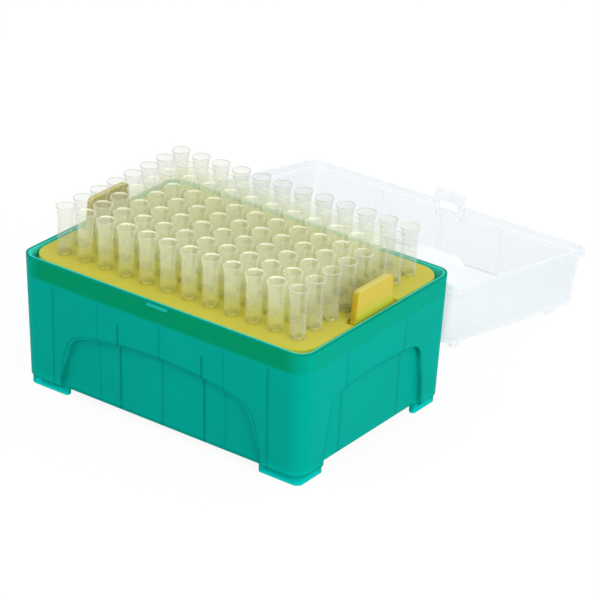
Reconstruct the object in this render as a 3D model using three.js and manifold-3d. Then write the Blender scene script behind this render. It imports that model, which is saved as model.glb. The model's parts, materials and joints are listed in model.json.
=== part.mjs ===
// A box of pipette tips: a footed base, a tray with 96 tips standing in it, and a clear lid swung open.
// Millimetres, +Z up, the long side of the box along X, the hinge along the back (+Y).
import * as THREE from 'three';
import { mergeVertices } from 'three/addons/utils/BufferGeometryUtils.js';
import Module from 'manifold-3d';

const wasm = await Module();
wasm.setup();
const { Manifold } = wasm;

// Tip grid
const pitch = 9;
const columns = 12;
const rows = 8;

// Base
const baseHeight = 49.7; // table to rim
const rimMarginX = 6.95; // from the grid's outer edge to the rim's outer face
const rimMarginY = 6.75;
const rimHalfX = columns * pitch / 2 + rimMarginX;
const rimHalfY = rows * pitch / 2 + rimMarginY;
const rimRadius = 6;
const wall = 1.4;
const draftPerMm = 0.0273; // how far a wall leans in for each mm down
const legBottom = 3.9; // the corners end here, and the feet go on
const longEdgeDrop = 0.8; // the long walls go this much lower between the feet
const shortEdgeRise = 0.35; // the short walls end this much higher between the feet
const floorThickness = 1.4;
const archInset = 1.7; // how far the arched panels stand back
const archFoot = 43; // half width of the long arch at its foot
const archFootShort = 28.4;
const archHeight = 26.2; // above the wall's lower edge
const archSag = 3.6; // the arch's shoulder is this much lower than its middle
const archShoulder = 8.5; // how far the shoulder stands in from the arch's foot
const archCurve = 2; // how far the arch's side bows out
const ribWidth = 0.9;
const ribReach = 3; // from the wall's inner face at the rim
const lowRibDrop = 6; // the low ribs end this much below the others

// Feet
const footInset = 1.4; // from the leg's face
const footRadius = 2.5;
const footWall = 2.6;
const footLengthX = 17.1;
const footLengthY = 13.6;
const footLedge = 0.8; // chamfer between leg and foot

// Tray
const trayGap = 0.85; // from the rim's inner face to the tray
const trayHalfX = rimHalfX - wall - trayGap;
const trayHalfY = rimHalfY - wall - trayGap;
const trayRadius = 9.3;
const trayDrop = 0.4; // the plate lies this much below the rim
const trayPlate = 1.4;
const skirtHeight = 7.6;
const skirtWall = 1.2;
const seatGap = 0.3; // between pieces that rest on each other
const tabHalf = 11.4; // half width of the tab at the plate
const tabTopHalf = 9.4;
const tabHeight = 10.7; // above the plate
const tabThickness = 2.1;
const tabInset = 0.8; // from the tray's edge
const pocketDepth = 2.4; // the pocket that the tab stands in
const pocketBack = 1.3; // past the tab's inner face
const pocketSide = 1.8; // past the tab's ends
const pocketWall = 1.2;

// Tips
const tipRise = 17.85; // from the plate to the tip's mouth
const tipLength = 51;
const tipRimRadius = 3.4;
const tipTubeRadius = 2.85;
const tipShoulderRadius = 2.6; // just over the plate
const tipNeckRadius = 2.05; // in the plate's hole
const tipPointRadius = 0.5;
const tipWall = 0.4;
const tipRimHeight = 1.6;
const tipSides = 6;
const holeClearance = 0.25;
const fixedTipSink = 0.3; // the middle tips are fused to the plate, sunk in it by this much

// Lid
const lidFlangeGap = 0.3; // between the flange and the rim it goes round
const lidFlangeWall = 1.05;
const lidFlangeOverlap = 2.1; // how far the flange reaches down past the rim
const lidFlangeHeight = 4;
const lidWallInset = 1.5; // the wall stands in from the flange
const lidFlangeRadius = 4.8; // of its outer corners
const lidDepth = 22.2; // flange edge to the outside of the top
const lidWall = 1;
const lidDraft = 0.02;
const lidRadius = 4.5;
const lidEdge = 1.2; // chamfer round the top
const lidEdgeLean = 0.8; // mm in for each mm up
const bumpHeight = 1; // the stacking bumps on the top, which stand beside the feet of a box above
const bumpLength = 5;
const bumpWidth = 1.5;
const bumpGap = 0.4; // from the foot beside it
const thumbHalf = 20.5; // half width of the thumb panel at the top's outside
const thumbReach = 7; // from the latch's side inwards
const thumbRadius = 2;
const thumbDepth = 2.7;
const thumbLean = 1.1; // mm in for each mm down
const lidOpenAngle = 190.3; // degrees, closed to open

// Latch
const catchHalfWidth = 4.3;
const catchReach = 0.8;
const catchDrop = 1.4; // rim to the catch's underside
const catchEdge = 0.5; // height of the catch's nose
const windowSideGap = 0.3;
const windowHeight = 2.8;
const windowTopEdge = 0.7; // flange left over the window
const latchGap = 0.4; // the latch clears the catch's nose by this much
const latchWall = 1.2;
const latchLegWidth = 2.1;
const latchBarDrop = 4.2; // below the flange's edge
const latchLegHeight = 7.2; // above the flange's edge, where the leg runs out in the wall

// Hinge
const hingeStandOff = 2.1; // axis to the rim's outer face
const hingeDrop = 4.4; // axis below the rim
const hingeSpan = 32; // each hinge from the middle
const hingeEarWidth = 3;
const hingeEarRadius = 1.7;
const hingePinRadius = 0.9;
const hingePinClearance = 0.2;
const hingeLugWidth = 2;
const hingeLugRadius = 2.1;
const hingeSideGap = 0.3;

const hair = 0.5; // overlap of solids that are joined
const big = 200; // a cut that goes right through

const plastics = {
  base: { color: 0x00a38e, roughness: 0.35, metalness: 0 },
  tray: { color: 0xd0b83c, roughness: 0.45, metalness: 0 },
  tip: { color: 0xe3e8dc, roughness: 0.2, metalness: 0 },
  lid: { color: 0xe4e9ee, roughness: 0.15, metalness: 0 },
};

// ---------- shapes ----------

function toSolid(geometry) {
  geometry.deleteAttribute('normal');
  geometry.deleteAttribute('uv');
  const merged = mergeVertices(geometry, 1e-5);
  return new Manifold(new wasm.Mesh({
    numProp: 3,
    vertProperties: merged.attributes.position.array,
    triVerts: new Uint32Array(merged.index.array),
  }));
}

function toGeometry(solid) {
  const mesh = solid.getMesh();
  const geometry = new THREE.BufferGeometry();
  geometry.setAttribute('position', new THREE.BufferAttribute(new Float32Array(mesh.vertProperties), 3));
  geometry.setIndex(new THREE.BufferAttribute(new Uint32Array(mesh.triVerts), 1));
  const faceted = geometry.toNonIndexed();
  faceted.computeVertexNormals();
  return faceted;
}

function box(xMin, xMax, yMin, yMax, zMin, zMax) {
  const geometry = new THREE.BoxGeometry(xMax - xMin, yMax - yMin, zMax - zMin);
  geometry.translate((xMin + xMax) / 2, (yMin + yMax) / 2, (zMin + zMax) / 2);
  return toSolid(geometry);
}

function roundedOutline(halfX, halfY, radius) {
  const shape = new THREE.Shape();
  shape.moveTo(halfX, radius - halfY);
  shape.lineTo(halfX, halfY - radius);
  shape.absarc(halfX - radius, halfY - radius, radius, 0, Math.PI / 2);
  shape.lineTo(radius - halfX, halfY);
  shape.absarc(radius - halfX, halfY - radius, radius, Math.PI / 2, Math.PI);
  shape.lineTo(-halfX, radius - halfY);
  shape.absarc(radius - halfX, radius - halfY, radius, Math.PI, 1.5 * Math.PI);
  shape.lineTo(halfX - radius, -halfY);
  shape.absarc(halfX - radius, radius - halfY, radius, 1.5 * Math.PI, 2 * Math.PI);
  return shape;
}

// A rounded block whose sides lean in by lean mm for each mm away from fullZ.
function roundedBlock(halfX, halfY, radius, zMin, zMax, lean = 0, fullZ = zMax) {
  const outline = roundedOutline(halfX, halfY, radius);
  const settings = { depth: zMax - zMin, bevelEnabled: false, curveSegments: 4 };
  const geometry = new THREE.ExtrudeGeometry(outline, settings);
  geometry.translate(0, 0, zMin);
  const position = geometry.attributes.position;
  for (let i = 0; i < position.count; i += 1) {
    const shift = lean * Math.abs(fullZ - position.getZ(i));
    position.setX(i, position.getX(i) - Math.sign(position.getX(i)) * shift);
    position.setY(i, position.getY(i) - Math.sign(position.getY(i)) * shift);
  }
  return toSolid(geometry);
}

// A profile in the YZ plane, extruded along X from xMin to xMax.
function alongX(shape, xMin, xMax) {
  const settings = { depth: xMax - xMin, bevelEnabled: false, curveSegments: 4 };
  const geometry = new THREE.ExtrudeGeometry(shape, settings);
  geometry.rotateX(Math.PI / 2);
  geometry.rotateZ(Math.PI / 2);
  geometry.translate(xMin, 0, 0);
  return toSolid(geometry);
}

function cylinderAlongX(radius, xMin, xMax, y, z, sides) {
  const geometry = new THREE.CylinderGeometry(radius, radius, xMax - xMin, sides);
  geometry.rotateZ(Math.PI / 2);
  geometry.translate((xMin + xMax) / 2, y, z);
  return toSolid(geometry);
}

function union(solids) {
  return solids.reduce((joined, solid) => joined.add(solid));
}

// Copies a solid to the other side of the middle, across X, Y or both.
function mirrored(solid, acrossX, acrossY) {
  let all = solid;
  if (acrossX) all = all.add(all.mirror([1, 0, 0]));
  if (acrossY) all = all.add(all.mirror([0, 1, 0]));
  return all;
}

function part(name, solid, look) {
  const mesh = new THREE.Mesh(toGeometry(solid), new THREE.MeshStandardMaterial(look));
  mesh.name = name;
  return mesh;
}

// ---------- base ----------

// The arch of a wall's sunk panel, as a prism through the whole box along Y, grown by margin.
function archPrism(halfFoot, margin) {
  const top = legBottom + archHeight + margin;
  const foot = halfFoot + margin;
  const shoulderX = foot - archShoulder;
  const shoulderZ = top - archSag;
  const shape = new THREE.Shape();
  shape.moveTo(-foot, -1);
  shape.lineTo(foot, -1);
  shape.lineTo(foot, legBottom);
  shape.quadraticCurveTo(foot - archCurve, shoulderZ - archCurve, shoulderX, shoulderZ);
  shape.quadraticCurveTo(shoulderX / 2, top, 0, top);
  shape.quadraticCurveTo(-shoulderX / 2, top, -shoulderX, shoulderZ);
  shape.quadraticCurveTo(archCurve - foot, shoulderZ - archCurve, -foot, legBottom);
  const geometry = new THREE.ExtrudeGeometry(shape, { depth: big, bevelEnabled: false, curveSegments: 4 });
  geometry.rotateX(Math.PI / 2);
  geometry.translate(0, big / 2, 0);
  return toSolid(geometry);
}

function makeArches(margin) {
  return archPrism(archFoot, margin).add(archPrism(archFootShort, margin).rotate([0, 0, 90]));
}

// The box's body, inset all round and sunk by archInset below the arches.
function bodyBlock(inset, zMin, zMax, arches) {
  return wallBlock(inset, zMin, zMax).subtract(arches).add(wallBlock(inset + archInset, zMin, zMax));
}

function wallBlock(inset, zMin, zMax) {
  return roundedBlock(rimHalfX - inset, rimHalfY - inset, rimRadius - Math.min(inset, rimRadius - 2),
    zMin, zMax, draftPerMm, baseHeight);
}

const skirtBottom = baseHeight - trayDrop - skirtHeight;
const ribTop = skirtBottom - seatGap;
const legDraft = draftPerMm * (baseHeight - legBottom);
const hingeY = rimHalfY + hingeStandOff;
const hingeZ = baseHeight - hingeDrop;

function makeShell() {
  const floorTop = legBottom + floorThickness;
  const outside = bodyBlock(0, legBottom, baseHeight, makeArches(0));
  const inside = bodyBlock(wall, floorTop, baseHeight + 1, makeArches(wall));
  const ribs = outside.intersect(makeRibs());
  const shortEdge = box(rimHalfX - rimRadius, big, -archFootShort, archFootShort, 0,
    legBottom + shortEdgeRise);
  const longEdge = wallBlock(archInset, legBottom - longEdgeDrop, legBottom + hair)
    .subtract(wallBlock(archInset + wall, 0, legBottom + 2 * hair))
    .intersect(box(-archFoot, archFoot, -big, big, 0, big));
  return outside.subtract(inside).add(ribs).subtract(mirrored(shortEdge, true, false)).add(longEdge);
}

// Ribs stand on the grid's columns and rows, and carry the tray's skirt.
function makeRibs() {
  const innerX = rimHalfX - wall - ribReach;
  const innerY = rimHalfY - wall - ribReach;
  const half = ribWidth / 2;
  const tallRibs = [0, 3 * pitch, 5 * pitch].map((x) => (
    box(x - half, x + half, innerY, big, legBottom, ribTop)
  ));
  const lowRib = box(2 * pitch - half, 2 * pitch + half, innerY, big, legBottom, ribTop - lowRibDrop);
  const endRib = box(innerX, big, 2 * pitch - half, 2 * pitch + half, legBottom, ribTop);
  return mirrored(union([...tallRibs, lowRib, endRib]), true, true);
}

function makeFeet() {
  const footHalfX = rimHalfX - legDraft - footInset;
  const footHalfY = rimHalfY - legDraft - footInset;
  const ring = roundedBlock(footHalfX, footHalfY, footRadius, 0, legBottom + hair)
    .subtract(roundedBlock(footHalfX - footWall, footHalfY - footWall, footRadius / 2, -1, legBottom + 1));
  const ledge = roundedBlock(rimHalfX - legDraft, rimHalfY - legDraft, rimRadius,
    legBottom - footLedge, legBottom + hair / 10, 1, legBottom + hair / 10)
    .subtract(roundedBlock(footHalfX - footWall, footHalfY - footWall, footRadius / 2, -1, legBottom + 1));
  const corner = box(footHalfX - footLengthX, big, footHalfY - footLengthY, big, -1, big);
  return ring.add(ledge).intersect(mirrored(corner, true, true));
}

function makeCatch() {
  const low = baseHeight - catchDrop;
  const profile = new THREE.Shape([
    [-rimHalfY + hair, low],
    [-rimHalfY - catchReach, low],
    [-rimHalfY - catchReach, low + catchEdge],
    [-rimHalfY, baseHeight],
    [-rimHalfY + hair, baseHeight],
  ].map(([y, z]) => new THREE.Vector2(y, z)));
  return alongX(profile, -catchHalfWidth, catchHalfWidth);
}

function makeLugs() {
  const inner = hingeEarWidth / 2 + hingeSideGap;
  const outer = inner + hingeLugWidth;
  const rootY = rimHalfY - wall / 2;
  const lug = union([
    cylinderAlongX(hingeLugRadius, inner, outer, hingeY, hingeZ, 16),
    box(inner, outer, rootY, hingeY, hingeZ - hingeLugRadius, hingeZ + hingeLugRadius),
  ]);
  const hole = cylinderAlongX(hingePinRadius + hingePinClearance, -big, big, hingeY, hingeZ, 16);
  const pair = mirrored(lug, true, false);
  return pair.translate([hingeSpan, 0, 0]).add(pair.translate([-hingeSpan, 0, 0])).subtract(hole);
}

function makeBase() {
  return part('base', union([makeShell(), makeFeet(), makeCatch(), makeLugs()]), plastics.base);
}

// ---------- tips ----------

const plateTop = baseHeight - trayDrop;
const plateBottom = plateTop - trayPlate;
const tipTop = plateTop + tipRise;
const tipBottom = tipTop - tipLength;

// Half section of a tip from its point up, outside then inside.
function tipProfile(shoulderZ) {
  const outside = [
    [tipPointRadius, tipBottom],
    [tipNeckRadius, shoulderZ],
    [tipShoulderRadius, shoulderZ],
    [tipTubeRadius, tipTop - tipRimHeight],
    [tipRimRadius, tipTop],
  ];
  const inside = [
    [tipRimRadius - tipWall, tipTop],
    [tipShoulderRadius - tipWall, shoulderZ + 1],
    [tipPointRadius / 2, tipBottom],
  ];
  const points = [...outside, ...inside, outside[0]];
  return points.map(([radius, z]) => new THREE.Vector2(radius, z));
}

function makeTip(shoulderZ) {
  const geometry = new THREE.LatheGeometry(tipProfile(shoulderZ), tipSides);
  geometry.rotateX(Math.PI / 2);
  return toSolid(geometry);
}

function gridPlace(column, row) {
  return [(column - (columns + 1) / 2) * pitch, (row - (rows + 1) / 2) * pitch, 0];
}

const places = [];
for (let row = 1; row <= rows; row += 1) {
  for (let column = 1; column <= columns; column += 1) {
    const fixed = row > 2 && row <= rows - 2 && column > 1 && column < columns;
    places.push({ column, row, fixed });
  }
}

function makeTips() {
  const looseTip = makeTip(plateTop + seatGap);
  return places.filter((place) => !place.fixed).map(({ column, row }) => (
    part(`tip_${column}_${row}`, looseTip.translate(gridPlace(column, row)), plastics.tip)
  ));
}

// ---------- tray ----------

// The pocket in the plate that a tab stands in, and the boss under it.
function makePocket() {
  const inner = trayHalfX - tabInset - tabThickness - pocketBack;
  const half = tabHalf + pocketSide;
  const low = plateTop - pocketDepth;
  return {
    hollow: box(inner, big, -half, half, low, big),
    boss: box(inner - pocketWall, trayHalfX - hair, -half - pocketWall, half + pocketWall,
      low - pocketWall, plateTop - hair),
  };
}

function makeTab() {
  const low = plateTop - pocketDepth - pocketWall / 2;
  const top = plateTop + tabHeight;
  const outline = new THREE.Shape([
    [-tabHalf, low],
    [tabHalf, low],
    [tabHalf, plateTop],
    [tabTopHalf, top],
    [-tabTopHalf, top],
    [-tabHalf, plateTop],
  ].map(([y, z]) => new THREE.Vector2(y, z)));
  const outer = trayHalfX - tabInset;
  return alongX(outline, outer - tabThickness, outer);
}

function makeTray() {
  const hollow = roundedBlock(trayHalfX - skirtWall, trayHalfY - skirtWall, trayRadius - skirtWall,
    0, plateBottom);
  const plate = roundedBlock(trayHalfX, trayHalfY, trayRadius, plateTop - skirtHeight, plateTop)
    .subtract(hollow);
  const pocket = makePocket();
  const holeRadius = tipNeckRadius + holeClearance;
  const holeGeometry = new THREE.CylinderGeometry(holeRadius, holeRadius, big, tipSides);
  holeGeometry.rotateX(Math.PI / 2);
  const hole = toSolid(holeGeometry);
  const fixedTip = makeTip(plateTop - fixedTipSink);
  const holes = places.map(({ column, row }) => hole.translate(gridPlace(column, row)));
  const tips = places.filter((place) => place.fixed)
    .map(({ column, row }) => fixedTip.translate(gridPlace(column, row)));
  const solid = plate.add(mirrored(pocket.boss, true, false))
    .subtract(mirrored(pocket.hollow, true, false))
    .add(mirrored(makeTab(), true, false))
    .subtract(union(holes))
    .add(union(tips));
  return part('tray', solid, plastics.tray);
}

// ---------- lid ----------

const flangeEdge = baseHeight - lidFlangeOverlap;
const flangeTop = flangeEdge + lidFlangeHeight;
const flangeHalfX = rimHalfX + lidFlangeGap + lidFlangeWall;
const flangeHalfY = rimHalfY + lidFlangeGap + lidFlangeWall;
const lidTop = flangeEdge + lidDepth;

// A block that follows the lid's outside, inset all round.
function lidBlock(inset, zMin, zMax) {
  return roundedBlock(flangeHalfX - lidWallInset - inset, flangeHalfY - lidWallInset - inset,
    Math.max(lidRadius - inset, 1), zMin, zMax, lidDraft, flangeTop);
}

// The sunk panel over the latch, where a thumb presses, grown by margin.
function thumbPanel(margin) {
  return roundedBlock(thumbHalf + margin, thumbReach + margin, thumbRadius + margin,
    lidTop - thumbDepth - margin, lidTop, thumbLean).translate([0, -flangeHalfY + lidWallInset, 0]);
}

function makeCover() {
  const flange = roundedBlock(flangeHalfX, flangeHalfY, lidFlangeRadius, flangeEdge, flangeTop);
  const edgeStart = lidTop - lidEdge;
  const edgeDraft = lidDraft * (edgeStart - flangeTop);
  const topHalfX = flangeHalfX - lidWallInset - edgeDraft;
  const topHalfY = flangeHalfY - lidWallInset - edgeDraft;
  const roundEdge = roundedBlock(topHalfX, topHalfY, lidRadius, edgeStart, lidTop, lidEdgeLean, edgeStart);
  const rimRoom = roundedBlock(rimHalfX + lidFlangeGap, rimHalfY + lidFlangeGap, rimRadius + lidFlangeGap,
    flangeEdge - 1, baseHeight + lidFlangeGap);
  const hollow = lidBlock(lidWall, baseHeight, lidTop - lidWall).subtract(thumbPanel(lidWall));
  return union([flange, lidBlock(0, flangeTop - hair, edgeStart), roundEdge])
    .subtract(thumbPanel(0))
    .subtract(rimRoom)
    .subtract(hollow)
    .add(makeBumps());
}

// Bumps on the top, at the back corners and beside the ends of the feet of a box stacked on this one.
function makeBumps() {
  const innerX = rimHalfX - legDraft - footInset + bumpGap;
  const footY = rimHalfY - legDraft - footInset;
  const frontY = footLengthY - footY - bumpGap;
  const low = lidTop - lidEdge;
  const bumps = [frontY - bumpLength, footY - bumpLength].map((y) => (
    box(innerX, innerX + bumpWidth, y, y + bumpLength, low, lidTop + bumpHeight)
  ));
  return mirrored(union(bumps), true, false);
}

// The loop that snaps over the catch: a bar on two legs, and the window in the flange between them.
function makeLatch() {
  const inner = -rimHalfY - catchReach - latchGap;
  const outer = inner - latchWall;
  const windowHalf = catchHalfWidth + windowSideGap;
  const half = windowHalf + latchLegWidth;
  const low = flangeEdge - latchBarDrop;
  const windowTop = flangeTop - windowTopEdge;
  const wallFace = lidWallInset - flangeHalfY;
  const bar = box(-half, half, outer, inner, low, windowTop - windowHeight);
  const profile = new THREE.Shape([
    [outer, low],
    [inner, low],
    [inner, flangeEdge],
    [-rimHalfY - lidFlangeGap, flangeEdge],
    [-rimHalfY - lidFlangeGap, flangeTop - hair],
    [wallFace + lidWall / 2, flangeTop - hair],
    [wallFace + lidWall / 2, flangeEdge + latchLegHeight],
    [outer, flangeTop],
  ].map(([y, z]) => new THREE.Vector2(y, z)));
  const leg = alongX(profile, windowHalf, half);
  const window = box(-windowHalf, windowHalf, outer - hair, -rimHalfY, windowTop - windowHeight, windowTop);
  const slot = box(-windowHalf, windowHalf, inner, -rimHalfY, flangeEdge - 1, windowTop);
  return { body: bar.add(mirrored(leg, true, false)), cuts: window.add(slot) };
}

function makeEars() {
  const half = hingeEarWidth / 2;
  const profile = new THREE.Shape();
  profile.absarc(hingeY, hingeZ, hingeEarRadius, Math.PI, 2 * Math.PI + 0.5);
  profile.lineTo(flangeHalfY, flangeTop);
  profile.lineTo(flangeHalfY - lidFlangeWall, flangeTop);
  profile.lineTo(flangeHalfY - lidFlangeWall, flangeEdge);
  const pinReach = half + hingeSideGap + hingeLugWidth;
  const ear = alongX(profile, -half, half)
    .add(cylinderAlongX(hingePinRadius, -pinReach, pinReach, hingeY, hingeZ, 12));
  return ear.translate([hingeSpan, 0, 0]).add(ear.translate([-hingeSpan, 0, 0]));
}

function makeLid() {
  const latch = makeLatch();
  const solid = makeCover().add(latch.body).subtract(latch.cuts).add(makeEars());
  const swing = new THREE.Group();
  swing.position.set(0, hingeY, hingeZ);
  swing.rotation.x = THREE.MathUtils.degToRad(-lidOpenAngle);
  swing.add(part('lid', solid.translate([0, -hingeY, -hingeZ]), plastics.lid));
  return swing;
}

// ---------- the box of tips ----------

const group = new THREE.Group();
group.add(makeBase(), makeTray(), ...makeTips(), makeLid());

// The origin lies on the table, under the middle of the whole object.
group.updateMatrixWorld(true);
const middle = new THREE.Box3().setFromObject(group, true).getCenter(new THREE.Vector3());
group.position.set(-middle.x, -middle.y, 0);

export default group;
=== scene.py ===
import json
import math
import bmesh
import bpy
from mathutils import Matrix, Quaternion, Vector


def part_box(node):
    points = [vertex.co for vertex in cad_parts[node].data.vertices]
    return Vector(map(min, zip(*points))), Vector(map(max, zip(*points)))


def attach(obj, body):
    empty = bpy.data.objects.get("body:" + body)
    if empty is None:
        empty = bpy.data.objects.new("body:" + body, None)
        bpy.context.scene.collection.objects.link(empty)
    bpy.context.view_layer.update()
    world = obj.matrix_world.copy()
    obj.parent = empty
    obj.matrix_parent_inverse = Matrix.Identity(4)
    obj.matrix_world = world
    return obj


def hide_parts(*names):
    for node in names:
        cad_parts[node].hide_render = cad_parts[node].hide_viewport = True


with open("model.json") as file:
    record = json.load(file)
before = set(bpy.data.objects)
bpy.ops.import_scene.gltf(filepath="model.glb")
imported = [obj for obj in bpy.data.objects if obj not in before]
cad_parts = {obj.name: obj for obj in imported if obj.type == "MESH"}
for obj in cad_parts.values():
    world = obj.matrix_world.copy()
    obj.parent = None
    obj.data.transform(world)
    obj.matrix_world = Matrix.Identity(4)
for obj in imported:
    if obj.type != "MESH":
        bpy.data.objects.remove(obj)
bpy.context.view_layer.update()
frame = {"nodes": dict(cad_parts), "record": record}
mm = 0.001

trayLow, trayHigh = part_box("tray")
middleY = (trayLow.y + trayHigh.y) / 2 / mm  # the box's own middle, which the open lid puts off the origin
hinge = frame["record"]["behaviour"]["joints"][0]
hingeSpot = Vector(hinge["pos_m"]) / mm
hingeY = hingeSpot.y - middleY
hingeZ = hingeSpot.z

# The outside of the box, which the tray and the lid follow. Lengths are in mm, heights from the table.
box = {
    "halfX": 60.95,
    "halfY": 42.75,
    "cornerRadius": 6,
    "height": 49.7,
    "wall": 1.4,
    "lean": 0.0273,  # mm in for each mm down
    "legFoot": 3.9,  # the corners end here, and the feet go on
    "longFoot": 3.1,  # the long walls between the feet
    "shortFoot": 4.25,
    "floor": 1.4,
}
grid = {"pitch": 9, "columns": 12, "rows": 8}
beyond = 100  # past everything, for the shapes that cut
hair = 0.01  # for tests of where an edge lies
# The edge between a face of this area in mm2 and one so many times smaller stays sharp.
flatFace = {"area": 60, "times": 8}


def deselectAll():
    bpy.ops.object.select_all(action="DESELECT")


def activate(piece):
    deselectAll()
    piece.select_set(True)
    bpy.context.view_layer.objects.active = piece


def pick(kind, test):  # selects verts, edges or faces of the piece in edit mode
    bpy.ops.mesh.select_mode(type={"verts": "VERT", "edges": "EDGE", "faces": "FACE"}[kind])
    bpy.ops.mesh.select_all(action="DESELECT")
    mesh = bmesh.from_edit_mesh(bpy.context.object.data)
    for element in getattr(mesh, kind):
        if test(element):
            element.select_set(True)
    bmesh.update_edit_mesh(bpy.context.object.data)


def along(edge, axis):
    ends = edge.verts[1].co - edge.verts[0].co
    return abs(ends[axis]) > 0.9 * ends.length


def middleOf(edge):
    return (edge.verts[0].co + edge.verts[1].co) / 2 / mm


def block(halfX, halfY, low, high, at=(0, 0)):
    deselectAll()
    bpy.ops.mesh.primitive_cube_add(size=1, location=(at[0] * mm, at[1] * mm, (low + high) / 2 * mm))
    piece = bpy.context.object
    piece.scale = (2 * halfX * mm, 2 * halfY * mm, (high - low) * mm)
    bpy.ops.object.transform_apply(location=True, rotation=True, scale=True)
    return piece


def span(lowX, highX, lowY, highY, low, high):
    middle = ((lowX + highX) / 2, (lowY + highY) / 2)
    return block((highX - lowX) / 2, (highY - lowY) / 2, low, high, middle)


def rod(radius, lowX, highX, y, z, sides=24):  # a round bar along X
    deselectAll()
    spot = ((lowX + highX) / 2 * mm, y * mm, z * mm)
    bpy.ops.mesh.primitive_cylinder_add(
        vertices=sides, radius=radius * mm, depth=(highX - lowX) * mm,
        location=spot, rotation=(0, math.pi / 2, 0))
    bpy.ops.object.transform_apply(location=True, rotation=True, scale=True)
    return bpy.context.object


def roundEdges(piece, test, radius, segments):
    activate(piece)
    bpy.ops.object.mode_set(mode="EDIT")
    pick("edges", test)
    bpy.ops.mesh.bevel(offset=radius * mm, segments=segments, affect="EDGES")
    bpy.ops.object.mode_set(mode="OBJECT")
    return piece


def roundedBlock(halfX, halfY, radius, low, high, lean=0.0, fullAt=0.0, segments=10):
    piece = block(halfX, halfY, low, high)
    roundEdges(piece, lambda edge: along(edge, 2), radius, segments)
    for vertex in piece.data.vertices:
        shift = lean * abs(fullAt * mm - vertex.co.z)
        vertex.co.x -= math.copysign(shift, vertex.co.x)
        vertex.co.y -= math.copysign(shift, vertex.co.y)
    return piece


def copyOf(piece, shift=(0, 0, 0)):
    copy = piece.copy()
    copy.data = piece.data.copy()
    bpy.context.collection.objects.link(copy)
    copy.data.transform(Matrix.Translation(Vector(shift) * mm))
    return copy


def joined(pieces):
    activate(pieces[0])
    for piece in pieces:
        piece.select_set(True)
    bpy.ops.object.join()
    return bpy.context.object


def combine(piece, tool, operation):
    activate(piece)
    modifier = piece.modifiers.new("combine", "BOOLEAN")
    modifier.object = tool
    modifier.operation = operation
    modifier.solver = "EXACT"
    bpy.ops.object.modifier_apply(modifier=modifier.name)
    bpy.data.objects.remove(tool, do_unlink=True)
    return piece


def smooth(piece, angle):  # shades round edges as round, and keeps the large faces flat
    activate(piece)
    bpy.ops.object.shade_smooth()
    mesh = bmesh.new()
    mesh.from_mesh(piece.data)
    for edge in mesh.edges:
        turn = math.degrees(edge.calc_face_angle(math.pi))
        small, large = sorted([face.calc_area() for face in edge.link_faces] + [0])[-2:]
        alike = large < flatFace["area"] * mm ** 2 or large < flatFace["times"] * small
        edge.smooth = turn < angle and alike
    mesh.to_mesh(piece.data)
    mesh.free()
    return piece


def finishEdges(piece, width, segments, angle=40):
    activate(piece)
    modifier = piece.modifiers.new("edges", "BEVEL")
    modifier.width = width * mm
    modifier.segments = segments
    modifier.limit_method = "ANGLE"
    modifier.angle_limit = math.radians(angle)
    bpy.ops.object.modifier_apply(modifier=modifier.name)
    return smooth(piece, angle)


def place(piece, name, material):  # moves a piece from round the origin to where the box stands
    piece.data.transform(Matrix.Translation((0, middleY * mm, 0)))
    piece.name = name
    piece.data.name = name
    piece.data.materials.clear()
    piece.data.materials.append(material)
    return piece


class Wire:  # an output socket that adds Math nodes when it is used in a sum
    def __init__(self, finish, socket):
        self.finish = finish
        self.socket = socket

    def math(self, operation, first, second=0.0):
        return self.finish.node("ShaderNodeMath", {"operation": operation}, {0: first, 1: second})

    def __add__(self, other):
        return self.math("ADD", self, other)

    def __radd__(self, other):
        return self.math("ADD", other, self)

    def __sub__(self, other):
        return self.math("SUBTRACT", self, other)

    def __rsub__(self, other):
        return self.math("SUBTRACT", other, self)

    def __mul__(self, other):
        return self.math("MULTIPLY", self, other)

    def __rmul__(self, other):
        return self.math("MULTIPLY", other, self)

    def __truediv__(self, other):
        return self.math("DIVIDE", self, other)

    def __rtruediv__(self, other):
        return self.math("DIVIDE", other, self)

    def __pow__(self, other):
        return self.math("POWER", self, other)

    def size(self):  # without its sign
        return self.math("ABSOLUTE", self)

    def atLeast(self, other):
        return self.math("MAXIMUM", self, other)

    def fraction(self):
        return self.math("FRACT", self)

    def soft(self, low, high):  # 0 at low, 1 at high, and smooth between
        settings = {"interpolation_type": "SMOOTHSTEP"}
        return self.finish.node("ShaderNodeMapRange", settings, {0: self, 1: low, 2: high})

    def near(self, spot, half, fade):  # 1 within half of the spot, 0 past the fade
        return (self - spot).size().soft(half + fade, half)


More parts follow.
